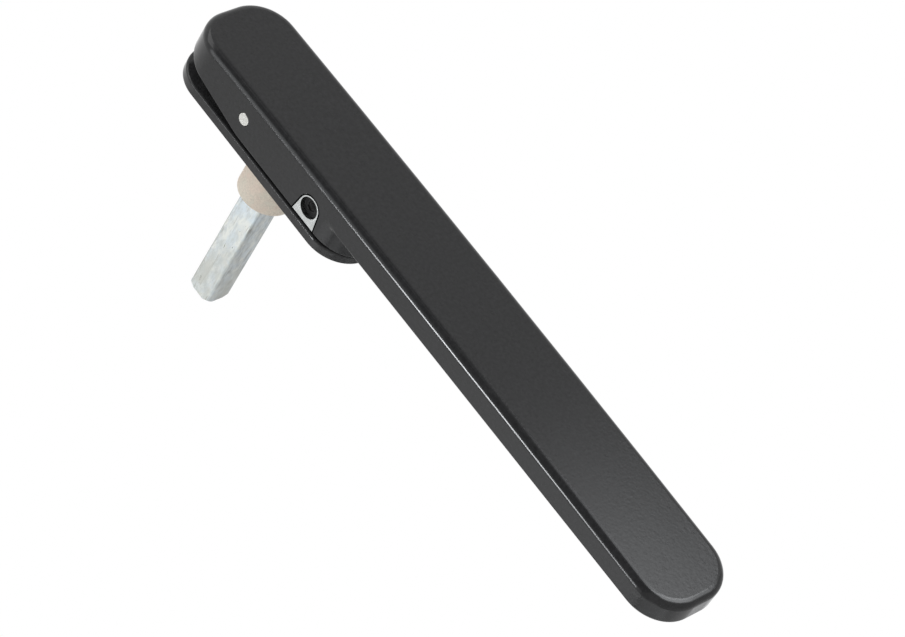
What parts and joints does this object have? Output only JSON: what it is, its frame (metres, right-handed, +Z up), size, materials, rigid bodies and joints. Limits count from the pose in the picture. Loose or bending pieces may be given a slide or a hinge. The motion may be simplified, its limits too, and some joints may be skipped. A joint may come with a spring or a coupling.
{
  "type": "bi-fold door locking handle",
  "caption": "Flat lift-and-turn lever handle with backplate, square spindle, collar and side key lock for a folding door.",
  "frame": {"origin": "on the spindle's axis, in the plane of the base plate's back face, which lies on the door", "axes": "+Y along the spindle into the door, +Z up along the lever away from its long arm, +X to the right seen from the front"},
  "size_m": [0.0282, 0.0773, 0.1994],
  "materials": {
    "black_powder_coat": "fine-textured powder coat",
    "bare_casting": "satin cast and machined",
    "plated_steel": "bright zinc plating",
    "sintered_bush": "matte sintered",
    "black_plug": "black plated",
    "spring_steel": "drawn, oiled",
    "white_plastic": "smooth moulded",
    "black_rubber": "matte moulded"
  },
  "bodies": {
    "door_side": {"base_plate": "black_powder_coat", "bearing_bush": "sintered_bush", "snap_ring": "spring_steel", "thrust_washer": "white_plastic"},
    "swivel": {"swivel_carrier": "bare_casting", "spindle": "plated_steel", "spindle_roll_pin": "spring_steel", "disc_spring": "spring_steel", "closing_buffer": "black_rubber", "return_spring_left": "spring_steel", "return_spring_right": "spring_steel", "barrel_retaining_pin": "spring_steel"},
    "lever_arm": {"lever": "black_powder_coat", "cross_pin": "plated_steel", "pivot_washer_left": "white_plastic", "pivot_washer_right": "white_plastic"},
    "key_plug": {"lock_barrel": "black_plug"},
    "bolt": {"lock_bolt": "plated_steel"}
  },
  "joints": [
    {"name": "handle_turn", "type": "hinge", "parent": "door_side", "child": "swivel", "pos_m": [0, 0, 0], "axis": [0, 1, 0], "range_deg": [0, 180]},
    {"name": "lever_lift", "type": "hinge", "parent": "swivel", "child": "lever_arm", "pos_m": [0, -0.01027, 0.00846], "axis": [-1, 0, 0], "range_deg": [0, 9.5], "stiffness_Nm_per_rad": 0.75, "springref_deg": -7.45, "deforming": ["return_spring_left", "return_spring_right"]},
    {"name": "key_turn", "type": "hinge", "parent": "swivel", "child": "key_plug", "pos_m": [0, -0.00895, -0.02094], "axis": [1, 0, 0], "range_deg": [0, 90]},
    {"name": "bolt_throw", "type": "slide", "parent": "swivel", "child": "bolt", "axis": [0, 1, 0], "range_m": [0, 0.0026]}
  ],
  "couplings": [
    {"joint": "key_turn", "follows": "bolt_throw", "rad_per_m": 603.64}
  ]
}
